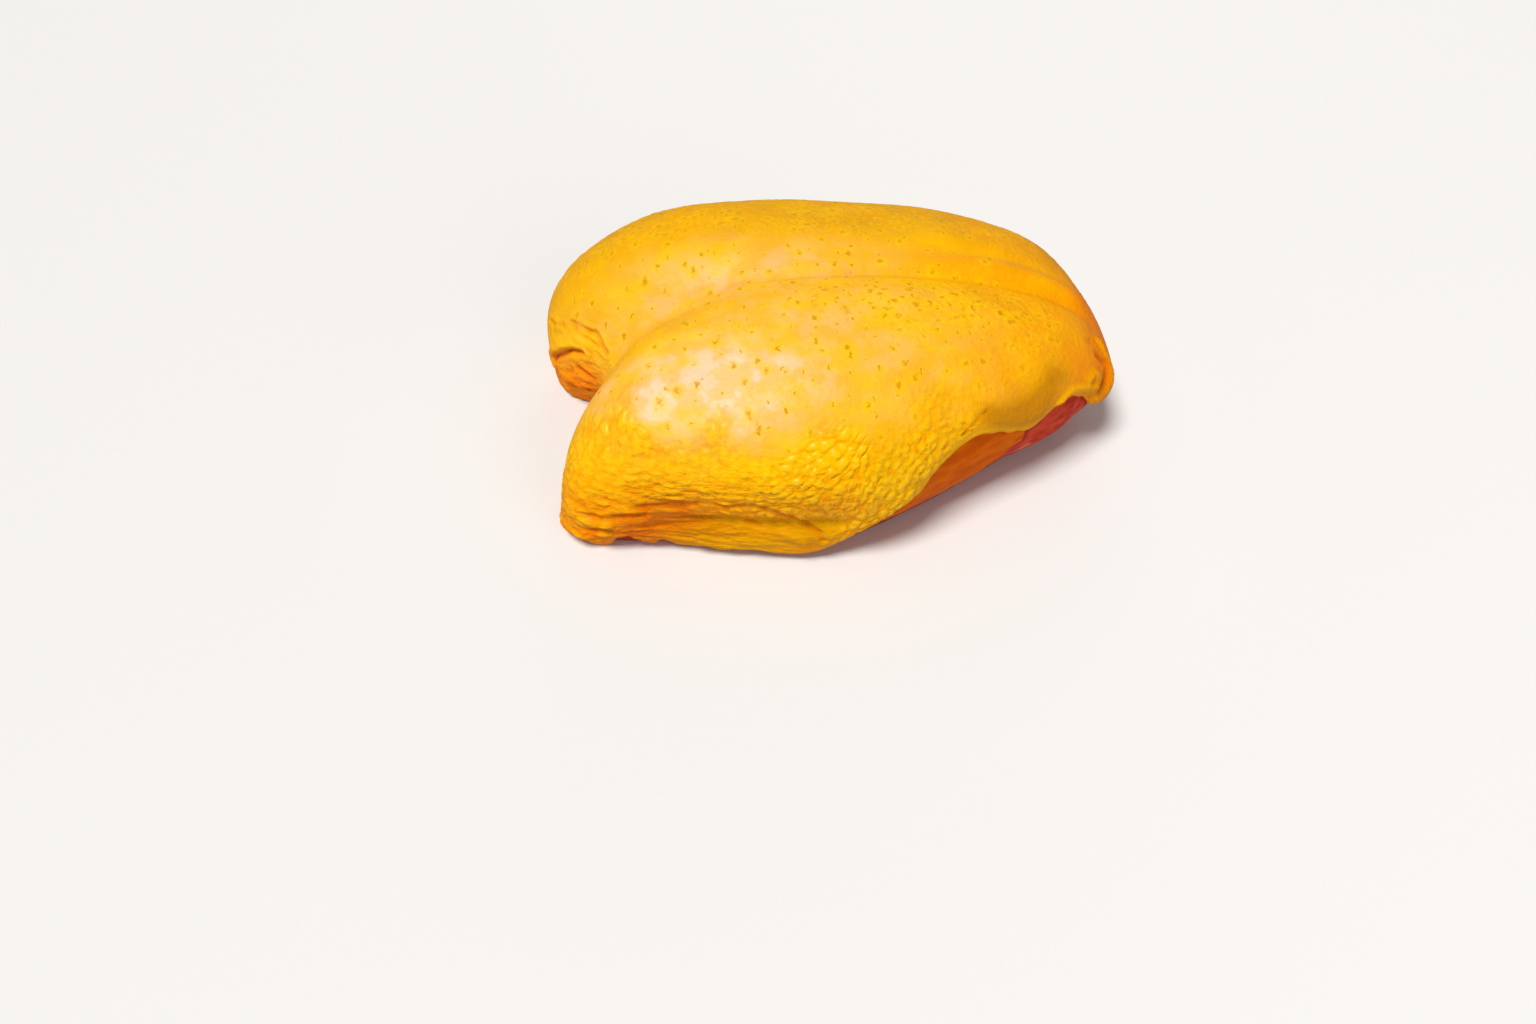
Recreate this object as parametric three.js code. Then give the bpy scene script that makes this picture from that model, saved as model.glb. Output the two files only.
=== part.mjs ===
// Raw double chicken breast, skin on, lying keel up.
// The skin, the fat membrane and the flesh share one rounded surface, told by two numbers:
// u counts outline points round the piece, v runs from the top (0) over the widest level (1)
// to the underside (2). X runs along the keel towards the tail, Y to the far side, Z up.
import * as THREE from 'three';

// Driving dimensions, in millimetres
const KEEL_HEIGHT = 73;
const CROWN_CENTRE = { x: 5, y: 0 };
const SKIN_THICKNESS = 2.2;
const LAYER_GAP = 0.7;
const MEMBRANE_GAP = 1;
const MEMBRANE_THICKNESS = 1.2;

// The two breast muscles stand above the keel, the far one with a bulge at the shoulder
const NEAR_MUSCLE = { rise: 4, halfValley: 13 };
const FAR_MUSCLE = { rise: 4, halfValley: 15 };
const MUSCLE_START = { from: -2, to: 6 };
const FAR_SHOULDER = { rise: 4, x: -66, y: 50, halfX: 42, halfY: 36 };
const NECK_VALLEY = { depth: 9, x: -60, y: -4, slant: 0.05, halfWidth: 15, from: -30, to: -85 };
const DOME_POWER = 2.5;
const DOME_ROOT = 2.1;

// Relief of the skin along the keel, towards the tail
const KEEL_STRIPE = { x: 40, y: 7.5, slant: 0.03, halfWidth: 5, height: 1.8, along: [0, 45, 96, 112] };
const KEEL_GROOVE = { y: -0.5, slant: 0.02, halfWidth: 3.2, depth: 1.6, along: [-80, -45, 90, 112] };
const STRIPE_EDGE = { y: 15.5, halfWidth: 4, depth: 0.7, along: [20, 60, 90, 112] };
const KEEL_RELIEF_END = { from: 0.75, to: 0.95 };
const DEEPEST_RELIEF = 1.6;

// Waves that keep the skin uneven: height, lengths and shifts of two sines multiplied together
const SLOW_WAVE = { height: 0.5, lengthX: 17, shiftX: 1, lengthY: 13, shiftY: 2 };
const QUICK_WAVE = { height: 0.35, lengthX: 10, slantY: 19, lengthY: 9, shiftY: 0.7 };
const QUICK_WAVE_START = { from: 0.15, to: 0.4 };

// Outline from the tail round by the far side: widest point, its height, share of reach kept below
const OUTLINE = [
  { x: 116, y: -3, rise: 22, foot: 0.8 },
  { x: 112, y: 26, rise: 26, foot: 0.82 },
  { x: 96, y: 57, rise: 28, foot: 0.88 },
  { x: 50, y: 78, rise: 30, foot: 0.9 },
  { x: -10, y: 84, rise: 30, foot: 0.92 },
  { x: -64, y: 80, rise: 29, foot: 0.92 },
  { x: -101, y: 62, rise: 27, foot: 0.92 },
  { x: -119, y: 37, rise: 22, foot: 0.97 },
  { x: -113, y: 14, rise: 16, foot: 0.99 },
  { x: -90, y: -8, rise: 20, foot: 0.86 },
  { x: -96, y: -32, rise: 18, foot: 0.92 },
  { x: -104, y: -54, rise: 12, foot: 1 },
  { x: -95, y: -74, rise: 10, foot: 0.99 },
  { x: -54, y: -81, rise: 22, foot: 0.93 },
  { x: -10, y: -85, rise: 24, foot: 0.93 },
  { x: 20, y: -79, rise: 26, foot: 0.86 },
  { x: 60, y: -56, rise: 30, foot: 0.84 },
  { x: 98, y: -30, rise: 27, foot: 0.8 },
];

// How far down the skin reaches (v) at each place round the outline (u)
const HEM = [
  { u: 0, v: 1.22 },
  { u: 1, v: 1.4 },
  { u: 2.6, v: 1.88 },
  { u: 4, v: 1.93 },
  { u: 11, v: 1.93 },
  { u: 13.4, v: 1.93 },
  { u: 14.2, v: 1.7 },
  { u: 14.9, v: 1.25 },
  { u: 15.45, v: 0.93 },
  { u: 15.85, v: 0.865 },
  { u: 16.38, v: 0.955 },
  { u: 16.79, v: 0.885 },
  { u: 17.15, v: 0.95 },
  { u: 17.6, v: 1.2 },
];

// Swellings and hollows of the walls, each centred at u and v, outwards where height is positive
const SWELLINGS = [
  // the near wing stump and the waist above it
  { u: 11.75, halfU: 0.6, v: 1.25, halfV: 0.4, height: 3 },
  { u: 11.9, halfU: 0.7, v: 0.72, halfV: 0.13, height: -1.5 },
  // the far wing stump and the waist above it
  { u: 8.1, halfU: 0.5, v: 1.1, halfV: 0.35, height: 1.5 },
  { u: 8.1, halfU: 0.6, v: 0.78, halfV: 0.1, height: -1.5 },
  // the rolled end of the skin at the tail and the waist above it
  { u: 17.75, halfU: 0.45, v: 1.02, halfV: 0.16, height: 2.6 },
  { u: 17.8, halfU: 0.5, v: 0.76, halfV: 0.08, height: -1.5 },
];

// The near wall bulges over a hollow, and its hem flares out
const NEAR_WALL = { along: [12.35, 13.1, 14.1, 14.8] };
const NEAR_WALL_BANDS = [
  { v: 0.84, halfV: 0.12, height: 1.5 },
  { v: 1.14, halfV: 0.18, height: -4.2 },
  { v: 1.75, halfV: 0.2, height: 1.6 },
];

// The skin's edge rolls up into a lip at the tail, with a furrow behind it
const LIP = { from: 16.6, full: 17.5, ending: 0.5, end: 1.4 };
const LIP_BANDS = [
  { v: 0.04, halfV: 0.08, height: 1.2 },
  { v: 0.24, halfV: 0.1, height: -1.2 },
];

// Creases of the gathered skin: points on the surface, depth and half width
const CREASES = [
  // round the top of the far wing stump
  { line: [[-116, 23, 31], [-107, 14, 37], [-95, 5, 40], [-90, -1, 35]], depth: 1.7, halfWidth: 3.2 },
  // across the far wing stump
  { line: [[-116, 18, 16], [-110, 11, 24], [-101, 5, 30]], depth: 1.8, halfWidth: 3.2 },
  // pit of the far wing stump
  { line: [[-104, 4, 19], [-96, -1, 21]], depth: 1.9, halfWidth: 3.4 },
  // folds that run into the near wing stump
  { line: [[-100, -70, 23], [-92, -76, 21], [-80, -78, 24]], depth: 1.2, halfWidth: 3.2 },
  { line: [[-94, -75, 16], [-84, -77, 17], [-72, -79, 21]], depth: 1.5, halfWidth: 3.2 },
  // under the bulge of the near side, hooked down at its end
  { line: [[-74, -78, 25], [-49, -81, 28], [-24, -83, 28]], depth: 1.7, halfWidth: 3.6 },
  { line: [[-17, -83, 24], [-11, -82, 18], [-5, -83, 14]], depth: 1.4, halfWidth: 3.2 },
  // behind the rolled end of the skin at the tail
  { line: [[101, -12, 47], [106, -13, 43], [111, -14, 35], [107, -21, 32]], depth: 1.9, halfWidth: 3.2 },
  // short slit above the cut edge
  { line: [[46, -61, 45], [51, -56, 47], [57, -52, 49]], depth: 1.2, halfWidth: 3 },
];

// The fat membrane: its span round the outline, its top under the skin and its lower edge
const MEMBRANE = { from: 14.2, to: 16.4, top: 0.8, low: 1.72 };
const MEMBRANE_EDGE = { narrowing: 0.55, over: 0.5, rag: 0.02, ragTurns: 40 };
const MEMBRANE_BED = { from: 13.7, to: 16.9, top: 0.56, low: 1.82, end: 2 };

// Fineness of the meshes
const COLUMNS = 84;
const SKIN_ROWS = 35;
const INNER_ROWS = 14;
const UNDER_ROWS = 5;
const ROW_CROWDING = 0.75;
const MEMBRANE_COLUMNS = 20;
const MEMBRANE_ROWS = 9;

// Step for directions on the surface, and how far from the top point they are taken
const SLOPE_STEP = 0.001;
const TOP_MARGIN = 0.03;

// Finishes
const FLESH_PINK = 0xc9736a;
const FAT_ORANGE = 0xd98a2b;
const SKIN_YELLOW = 0xf2b32c;
const WET = 0.35;
const MOIST = 0.45;

const COUNT = OUTLINE.length;

// Smooth step from 0 at low to 1 at high
function ease(value, low, high) {
  const t = Math.min(Math.max((value - low) / (high - low), 0), 1);
  return t * t * (3 - 2 * t);
}

// Bell curve of height 1
function bell(value, centre, halfWidth) {
  return Math.exp(-(((value - centre) / halfWidth) ** 2));
}

// Bell curve round the closed outline
function bellRound(u, centre, halfWidth) {
  const turn = u - centre + COUNT * 1.5;
  return bell(turn % COUNT, COUNT / 2, halfWidth);
}

// 1 between the two inner values, 0 outside the outer ones
function between(value, start, full, ending, end) {
  return ease(value, start, full) * (1 - ease(value, ending, end));
}

// Smooth closed curve through the outline points
function outlineAt(u) {
  const first = Math.floor(u);
  const t = u - first;
  const p = [-1, 0, 1, 2].map((step) => OUTLINE[(first + step + COUNT) % COUNT]);
  const blend = (key) => {
    const [a, b, c, d] = p.map((point) => point[key]);
    const bend = (2 * a - 5 * b + 4 * c - d) * t * t + (3 * b - a - 3 * c + d) * t ** 3;
    return 0.5 * (2 * b + (c - a) * t + bend);
  };
  return { x: blend('x'), y: blend('y'), rise: blend('rise'), foot: blend('foot') };
}

// Smooth curve through the hem's knots, which follow each other unevenly
function hemAt(u) {
  const n = HEM.length;
  const knot = (i) => {
    const turns = Math.floor(i / n);
    const source = HEM[i - turns * n];
    return { u: source.u + turns * COUNT, v: source.v };
  };
  const i = HEM.findLastIndex((entry) => entry.u <= u);
  const slope = (k) => (knot(k + 1).v - knot(k - 1).v) / (knot(k + 1).u - knot(k - 1).u);
  const a = knot(i);
  const b = knot(i + 1);
  const span = b.u - a.u;
  const t = (u - a.u) / span;
  const start = (2 * t ** 3 - 3 * t ** 2 + 1) * a.v + (t ** 3 - 2 * t ** 2 + t) * span * slope(i);
  const end = (3 * t ** 2 - 2 * t ** 3) * b.v + (t ** 3 - t ** 2) * span * slope(i + 1);
  return start + end;
}

// Sum of the bands that cross a wall at v
function bandsAt(bands, v) {
  return bands.reduce((sum, band) => sum + band.height * bell(v, band.v, band.halfV), 0);
}

// Height that the two breast muscles reach, with the keel between them and the valley at the neck
function crownHeight(x, y) {
  const { from, to } = MUSCLE_START;
  const near = NEAR_MUSCLE.rise * (1 - bell(y, 0, NEAR_MUSCLE.halfValley)) * ease(-y, from, to);
  const far = FAR_MUSCLE.rise * (1 - bell(y, 0, FAR_MUSCLE.halfValley)) * ease(y, from, to);
  const { x: shoulderX, y: shoulderY, halfX, halfY } = FAR_SHOULDER;
  const shoulder = FAR_SHOULDER.rise * bell(x, shoulderX, halfX) * bell(y, shoulderY, halfY);
  const valleyY = NECK_VALLEY.y + NECK_VALLEY.slant * (x - NECK_VALLEY.x);
  const valleyShare = ease(-x, -NECK_VALLEY.from, -NECK_VALLEY.to);
  const valley = NECK_VALLEY.depth * bell(y, valleyY, NECK_VALLEY.halfWidth) * valleyShare;
  return KEEL_HEIGHT + near + far + shoulder - valley;
}

// Large hollows and swellings of the walls, outwards from the centre
function wallSwell(u, v) {
  const swell = SWELLINGS.reduce(
    (sum, one) => sum + one.height * bellRound(u, one.u, one.halfU) * bell(v, one.v, one.halfV),
    0,
  );
  return swell + bandsAt(NEAR_WALL_BANDS, v) * between(u, ...NEAR_WALL.along);
}

// Point of the rounded surface: a dome above the widest level, a curved wall below it
function surfacePoint(u, v) {
  const edge = outlineAt(u);
  const reachX = edge.x - CROWN_CENTRE.x;
  const reachY = edge.y - CROWN_CENTRE.y;
  const below = Math.max(v - 1, 0);
  const share = v <= 1 ? Math.sin((v * Math.PI) / 2) : 1 - (1 - edge.foot) * below ** 2;
  const scale = share + wallSwell(u, v) / Math.hypot(reachX, reachY);
  const x = CROWN_CENTRE.x + reachX * scale;
  const y = CROWN_CENTRE.y + reachY * scale;
  if (v > 1) {
    return new THREE.Vector3(x, y, edge.rise * (1 - below));
  }
  const top = crownHeight(CROWN_CENTRE.x + reachX * share, CROWN_CENTRE.y + reachY * share);
  const fall = (1 - share ** DOME_POWER) ** (1 / DOME_ROOT);
  return new THREE.Vector3(x, y, edge.rise + (top - edge.rise) * fall);
}

// Outward direction: square to the dome, level on the wall below it
function outward(u, v) {
  const step = SLOPE_STEP;
  const at = Math.max(v, TOP_MARGIN);
  const round = surfacePoint(u + step, at).sub(surfacePoint((u - step + COUNT) % COUNT, at));
  const down = surfacePoint(u, at + step).sub(surfacePoint(u, at - step));
  const normal = down.cross(round);
  if (v >= 1) {
    normal.z = 0;
  }
  return normal.normalize();
}

// Depth of the creases near a point
function creaseDepth(point) {
  const closest = new THREE.Vector3();
  let depth = 0;
  for (const crease of CREASES) {
    let distance = Infinity;
    for (let i = 1; i < crease.line.length; i += 1) {
      const start = new THREE.Vector3(...crease.line[i - 1]);
      const piece = new THREE.Line3(start, new THREE.Vector3(...crease.line[i]));
      piece.closestPointToPoint(point, true, closest);
      distance = Math.min(distance, closest.distanceTo(point));
    }
    depth += crease.depth * bell(distance, 0, crease.halfWidth);
  }
  return depth;
}

// Height of a strip of relief that runs along the keel
function alongKeel(strip, size, x, y) {
  const centre = strip.y + (strip.slant ?? 0) * (x - (strip.x ?? 0));
  return size * bell(y, centre, strip.halfWidth) * between(x, ...strip.along);
}

// Slow waves that keep the surface uneven
function unevenness(x, y, v) {
  const slowX = Math.sin(x / SLOW_WAVE.lengthX + SLOW_WAVE.shiftX);
  const slowY = Math.sin(y / SLOW_WAVE.lengthY + SLOW_WAVE.shiftY);
  const quickX = Math.sin(x / QUICK_WAVE.lengthX + y / QUICK_WAVE.slantY);
  const quickY = Math.sin(y / QUICK_WAVE.lengthY + QUICK_WAVE.shiftY);
  const quickShare = ease(v, QUICK_WAVE_START.from, QUICK_WAVE_START.to);
  return SLOW_WAVE.height * slowX * slowY + QUICK_WAVE.height * quickX * quickY * quickShare;
}

// Relief of the skin's outer face: keel stripe, creases, rolled lip and unevenness
function skinRelief(u, v, point) {
  const { x, y } = point;
  const onTop = 1 - ease(v, KEEL_RELIEF_END.from, KEEL_RELIEF_END.to);
  const stripe = alongKeel(KEEL_STRIPE, KEEL_STRIPE.height, x, y);
  const groove = alongKeel(KEEL_GROOVE, KEEL_GROOVE.depth, x, y);
  const edge = alongKeel(STRIPE_EDGE, STRIPE_EDGE.depth, x, y);
  const atTail = u > COUNT / 2 ? ease(u, LIP.from, LIP.full) : 1 - ease(u, LIP.ending, LIP.end);
  const lip = bandsAt(LIP_BANDS, hemAt(u) - v) * atTail;
  const relief = (stripe - groove - edge) * onTop + lip + unevenness(x, y, v) - creaseDepth(point);
  return relief < 0 ? DEEPEST_RELIEF * Math.tanh(relief / DEEPEST_RELIEF) : relief;
}

// Share of the way to the hem that a row stands at, rows lying closer towards the hem
function rowShare(i, rows) {
  return (i / rows) ** ROW_CROWDING;
}

// One ring of points at a given depth below the surface, with its place v told by a function
function ring(placeAt, depthAt) {
  const points = [];
  for (let j = 0; j < COLUMNS; j += 1) {
    const u = (j * COUNT) / COLUMNS;
    const v = placeAt(u);
    const point = surfacePoint(u, v);
    points.push(point.clone().addScaledVector(outward(u, v), -depthAt(u, v, point)));
  }
  return points;
}

// Geometry from points and triangles that share them
function solid(points, triangles) {
  const geometry = new THREE.BufferGeometry().setFromPoints(points);
  geometry.setIndex(triangles);
  geometry.computeVertexNormals();
  return geometry;
}

// Closed body from rings of equal size, ending in a point at both ends. From ring turn on, the
// rings run back up inside, where faces are split the other way to match the layer below.
function closedLoft(startPoint, rings, endPoint, turn = rings.length) {
  const points = [startPoint, ...rings.flat(), endPoint];
  const last = points.length - 1;
  const at = (i, j) => 1 + i * COLUMNS + (j % COLUMNS);
  const triangles = [];
  for (let j = 0; j < COLUMNS; j += 1) {
    triangles.push(0, at(0, j), at(0, j + 1));
    for (let i = 1; i < rings.length; i += 1) {
      const [a, b, c, d] = [at(i - 1, j), at(i, j), at(i, j + 1), at(i - 1, j + 1)];
      if (i < turn) {
        triangles.push(a, b, c, a, c, d);
      } else {
        triangles.push(a, b, d, b, c, d);
      }
    }
    triangles.push(at(rings.length - 1, j + 1), at(rings.length - 1, j), last);
  }
  return solid(points, triangles);
}

// Closed sheet between two grids of points, front and back
function closedSheet(front, back) {
  const rows = front.length;
  const columns = front[0].length;
  const size = rows * columns;
  const points = [...front.flat(), ...back.flat()];
  const at = (i, j) => i * columns + j;
  const triangles = [];
  for (let i = 1; i < rows; i += 1) {
    for (let j = 1; j < columns; j += 1) {
      const [a, b, c, d] = [at(i - 1, j - 1), at(i, j - 1), at(i, j), at(i - 1, j)];
      triangles.push(a, b, c, a, c, d);
      triangles.push(c + size, b + size, a + size, d + size, c + size, a + size);
    }
  }
  const rim = (a, b) => triangles.push(a, b, b + size, a, b + size, a + size);
  for (let j = 1; j < columns; j += 1) {
    rim(at(0, j - 1), at(0, j));
    rim(at(rows - 1, j), at(rows - 1, j - 1));
  }
  for (let i = 1; i < rows; i += 1) {
    rim(at(i, 0), at(i - 1, 0));
    rim(at(i - 1, columns - 1), at(i, columns - 1));
  }
  return solid(points, triangles);
}

function material(colour, roughness) {
  return new THREE.MeshStandardMaterial({ color: colour, roughness, metalness: 0 });
}

function piece(name, geometry, finish) {
  const mesh = new THREE.Mesh(geometry, finish);
  mesh.name = name;
  return mesh;
}

const top = surfacePoint(0, 0);
const below = (depth) => new THREE.Vector3(top.x, top.y, top.z - depth);

// The skin is a thin bowl turned over, cut away along the near flank
function makeSkin() {
  const rings = [];
  for (let i = 1; i <= SKIN_ROWS; i += 1) {
    const share = rowShare(i, SKIN_ROWS);
    rings.push(ring((u) => hemAt(u) * share, (u, v, point) => -skinRelief(u, v, point)));
  }
  for (let i = INNER_ROWS; i >= 1; i -= 1) {
    const share = rowShare(i, INNER_ROWS);
    rings.push(ring((u) => hemAt(u) * share, () => SKIN_THICKNESS));
  }
  const crown = below(-skinRelief(0, 0, top));
  return closedLoft(crown, rings, below(SKIN_THICKNESS), SKIN_ROWS);
}

// Depth of the flesh under the outer surface, deeper where the membrane lies on it
function fleshDepth(u, v) {
  const bedRound = between(u, MEMBRANE_BED.from, MEMBRANE.from, MEMBRANE.to, MEMBRANE_BED.to);
  const bedDown = between(v, MEMBRANE_BED.top, MEMBRANE.top, MEMBRANE_BED.low, MEMBRANE_BED.end);
  return SKIN_THICKNESS + LAYER_GAP + (MEMBRANE_THICKNESS + MEMBRANE_GAP) * bedRound * bedDown;
}

// The flesh fills the skin and lies flat on what it rests on
function makeFlesh() {
  const rings = [];
  for (let i = 1; i <= INNER_ROWS; i += 1) {
    const share = rowShare(i, INNER_ROWS);
    rings.push(ring((u) => hemAt(u) * share, fleshDepth));
  }
  for (let i = 1; i <= UNDER_ROWS; i += 1) {
    const share = i / UNDER_ROWS;
    rings.push(ring((u) => hemAt(u) + (2 - hemAt(u)) * share, fleshDepth));
  }
  const underside = new THREE.Vector3(CROWN_CENTRE.x, CROWN_CENTRE.y, 0);
  return closedLoft(below(fleshDepth(0, 0)), rings, underside);
}

// The membrane is a smooth sheet of fat that runs from under the skin to a ragged lower edge
function makeMembrane() {
  const front = [];
  const back = [];
  const frontDepth = SKIN_THICKNESS + MEMBRANE_GAP;
  for (let i = 0; i <= MEMBRANE_ROWS; i += 1) {
    const frontRow = [];
    const backRow = [];
    for (let j = 0; j <= MEMBRANE_COLUMNS; j += 1) {
      const u = MEMBRANE.from + ((MEMBRANE.to - MEMBRANE.from) * j) / MEMBRANE_COLUMNS;
      const rise = MEMBRANE_EDGE.narrowing * ease(u, MEMBRANE.to - MEMBRANE_EDGE.over, MEMBRANE.to);
      const low = MEMBRANE.low - rise + MEMBRANE_EDGE.rag * Math.sin(u * MEMBRANE_EDGE.ragTurns);
      const v = MEMBRANE.top + ((low - MEMBRANE.top) * i) / MEMBRANE_ROWS;
      const point = surfacePoint(u, v);
      const direction = outward(u, v);
      frontRow.push(point.clone().addScaledVector(direction, -frontDepth));
      backRow.push(point.clone().addScaledVector(direction, -frontDepth - MEMBRANE_THICKNESS));
    }
    front.push(frontRow);
    back.push(backRow);
  }
  return closedSheet(front, back);
}

const breast = new THREE.Group();
breast.add(piece('flesh', makeFlesh(), material(FLESH_PINK, WET)));
breast.add(piece('fat_membrane', makeMembrane(), material(FAT_ORANGE, WET)));
breast.add(piece('skin', makeSkin(), material(SKIN_YELLOW, MOIST)));

export default breast;
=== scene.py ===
"""Raw double chicken breast with its skin on, lying keel up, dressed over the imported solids."""
import math

import bpy
import numpy as np
from mathutils import Matrix, Vector


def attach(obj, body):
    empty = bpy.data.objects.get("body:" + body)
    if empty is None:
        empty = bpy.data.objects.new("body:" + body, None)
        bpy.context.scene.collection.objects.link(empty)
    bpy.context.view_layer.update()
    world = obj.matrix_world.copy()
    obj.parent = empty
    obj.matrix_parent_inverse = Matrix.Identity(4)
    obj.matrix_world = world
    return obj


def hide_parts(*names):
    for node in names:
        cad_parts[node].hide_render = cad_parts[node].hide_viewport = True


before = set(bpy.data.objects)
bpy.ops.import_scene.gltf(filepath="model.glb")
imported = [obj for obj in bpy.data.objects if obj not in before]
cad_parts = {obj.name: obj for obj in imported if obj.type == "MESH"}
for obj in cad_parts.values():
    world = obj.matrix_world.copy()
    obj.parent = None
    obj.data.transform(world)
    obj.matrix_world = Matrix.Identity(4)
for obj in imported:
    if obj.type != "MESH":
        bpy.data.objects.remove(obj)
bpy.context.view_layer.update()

MM = 0.001

# Skin
# The real skin is a 2 mm sheet of yellow hide and fat, still grown to the breast. It is gathered
# in folds at the two wing stumps, rolled up at the tail and cut away along the near flank.

# Lengths are in millimetres. A place on the surface is told by u, which counts the points of the
# outline round the piece, and v, which is 0 at the crown, 1 at the widest level and 2 at the floor
CROWN_CENTRE = np.array([5.0, 0.0])
SKIN_THICKNESS = 2.2
DOME_POWER = 2.5
DOME_ROOT = 2.1

# Widest point round the piece, its height above the floor, share of the reach kept at the floor
OUTLINE = np.array([
    (116, -3, 22, 0.80),
    (112, 26, 26, 0.82),
    (96, 57, 28, 0.88),
    (50, 78, 30, 0.90),
    (-10, 84, 30, 0.92),
    (-64, 80, 29, 0.92),
    (-101, 62, 27, 0.92),
    (-119, 37, 22, 0.97),
    (-113, 14, 16, 0.99),
    (-90, -8, 20, 0.86),
    (-96, -32, 18, 0.92),
    (-104, -54, 12, 1.00),
    (-95, -74, 10, 0.99),
    (-54, -81, 22, 0.93),
    (-10, -85, 24, 0.93),
    (20, -79, 26, 0.86),
    (60, -56, 30, 0.84),
    (98, -30, 27, 0.80),
])
TURN = len(OUTLINE)

# How far down the skin reaches at each place round the outline
HEM = np.array([
    (0.0, 1.22),
    (1.0, 1.40),
    (2.6, 1.88),
    (4.0, 1.93),
    (11.0, 1.93),
    (13.4, 1.93),
    (14.2, 1.70),
    (14.9, 1.25),
    (15.45, 0.93),
    (15.85, 0.865),
    (16.38, 0.955),
    (16.79, 0.885),
    (17.15, 0.95),
    (17.6, 1.20),
])


def ease(value, low, high):
    """Smooth step from 0 at low to 1 at high."""
    t = np.clip((value - low) / (high - low), 0, 1)
    return t * t * (3 - 2 * t)


def bell(value, centre, half_width):
    """Bell curve of height 1 about a centre."""
    return np.exp(-(((value - centre) / half_width) ** 2))


def bell_round(u, centre, half_width):
    """Bell curve about a place on the closed outline."""
    return bell((u - centre + TURN / 2) % TURN, TURN / 2, half_width)


def between(value, start, full, ending, end):
    """1 between the two inner values, 0 outside the outer ones."""
    return ease(value, start, full) * (1 - ease(value, ending, end))


def outline_at(u):
    """Closed smooth curve: each stretch is a cubic through two points, aimed by their neighbours."""
    first = np.floor(u).astype(int)
    t = (u - first)[..., None]
    a, b, c, d = [OUTLINE[(first + step) % TURN] for step in (-1, 0, 1, 2)]
    square = 2 * a - 5 * b + 4 * c - d
    cube = 3 * b - a - 3 * c + d
    return 0.5 * (2 * b + (c - a) * t + square * t**2 + cube * t**3)


def hem_at(u):
    """Cubic curve through unevenly spaced knots, each slope set by the two neighbours."""
    at = np.concatenate([HEM[-2:, 0] - TURN, HEM[:, 0], HEM[:3, 0] + TURN])
    height = np.concatenate([HEM[-2:, 1], HEM[:, 1], HEM[:3, 1]])
    slope = np.zeros_like(height)
    slope[1:-1] = (height[2:] - height[:-2]) / (at[2:] - at[:-2])
    k = np.searchsorted(at, u % TURN, side="right") - 1
    span = at[k + 1] - at[k]
    t = (u % TURN - at[k]) / span
    start = (2 * t**3 - 3 * t**2 + 1) * height[k] + (t**3 - 2 * t**2 + t) * span * slope[k]
    end = (3 * t**2 - 2 * t**3) * height[k + 1] + (t**3 - t**2) * span * slope[k + 1]
    return start + end


# The two halves rise beside the keel, the far one to a shoulder, and part in a valley at the neck
KEEL_HEIGHT = 73.0
HALF_RISE = 4
HALF_START = (-2, 6)
NEAR_VALLEY, FAR_VALLEY = 13, 15
SHOULDER_RISE = 4
SHOULDER_ALONG, SHOULDER_ACROSS = (-66, 42), (50, 36)
NECK_DEPTH, NECK_HALF = 9, 15
NECK_X, NECK_Y, NECK_SLANT = -60, -4, 0.05
NECK_START = (30, 85)


def crown_height(x, y):
    """Keel height, plus a rise on both sides of it, plus the far shoulder, less the neck valley."""
    near = HALF_RISE * (1 - bell(y, 0, NEAR_VALLEY)) * ease(-y, *HALF_START)
    far = HALF_RISE * (1 - bell(y, 0, FAR_VALLEY)) * ease(y, *HALF_START)
    shoulder = SHOULDER_RISE * bell(x, *SHOULDER_ALONG) * bell(y, *SHOULDER_ACROSS)
    neck = NECK_DEPTH * bell(y, NECK_Y + NECK_SLANT * (x - NECK_X), NECK_HALF)
    return KEEL_HEIGHT + near + far + shoulder - neck * ease(-x, *NECK_START)


# Swellings of the walls: place round and half width, place down and half width, height outwards
SWELLINGS = [
    # the near wing stump and the waist above it
    ((11.75, 0.6), (1.25, 0.4), 3.0),
    ((11.9, 0.7), (0.72, 0.13), -1.5),
    # the far wing stump and the waist above it
    ((8.1, 0.5), (1.1, 0.35), 1.5),
    ((8.1, 0.6), (0.78, 0.1), -1.5),
    # the rolled end of the skin at the tail and the waist above it
    ((17.75, 0.45), (1.02, 0.16), 2.6),
    ((17.8, 0.5), (0.76, 0.08), -1.5),
]
# The near wall bulges over a hollow, and its hem flares out
NEAR_WALL = (12.35, 13.1, 14.1, 14.8)
NEAR_WALL_BANDS = [((0.84, 0.12), 1.5), ((1.14, 0.18), -4.2), ((1.75, 0.2), 1.6)]


def wall_swell(u, v):
    """Sum of bell-shaped swellings, and of the near wall's bulge, hollow and flared hem."""
    swell = sum(height * bell_round(u, *place) * bell(v, *level) for place, level, height in SWELLINGS)
    bands = sum(height * bell(v, *level) for level, height in NEAR_WALL_BANDS)
    return swell + bands * between(u, *NEAR_WALL)


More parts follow.
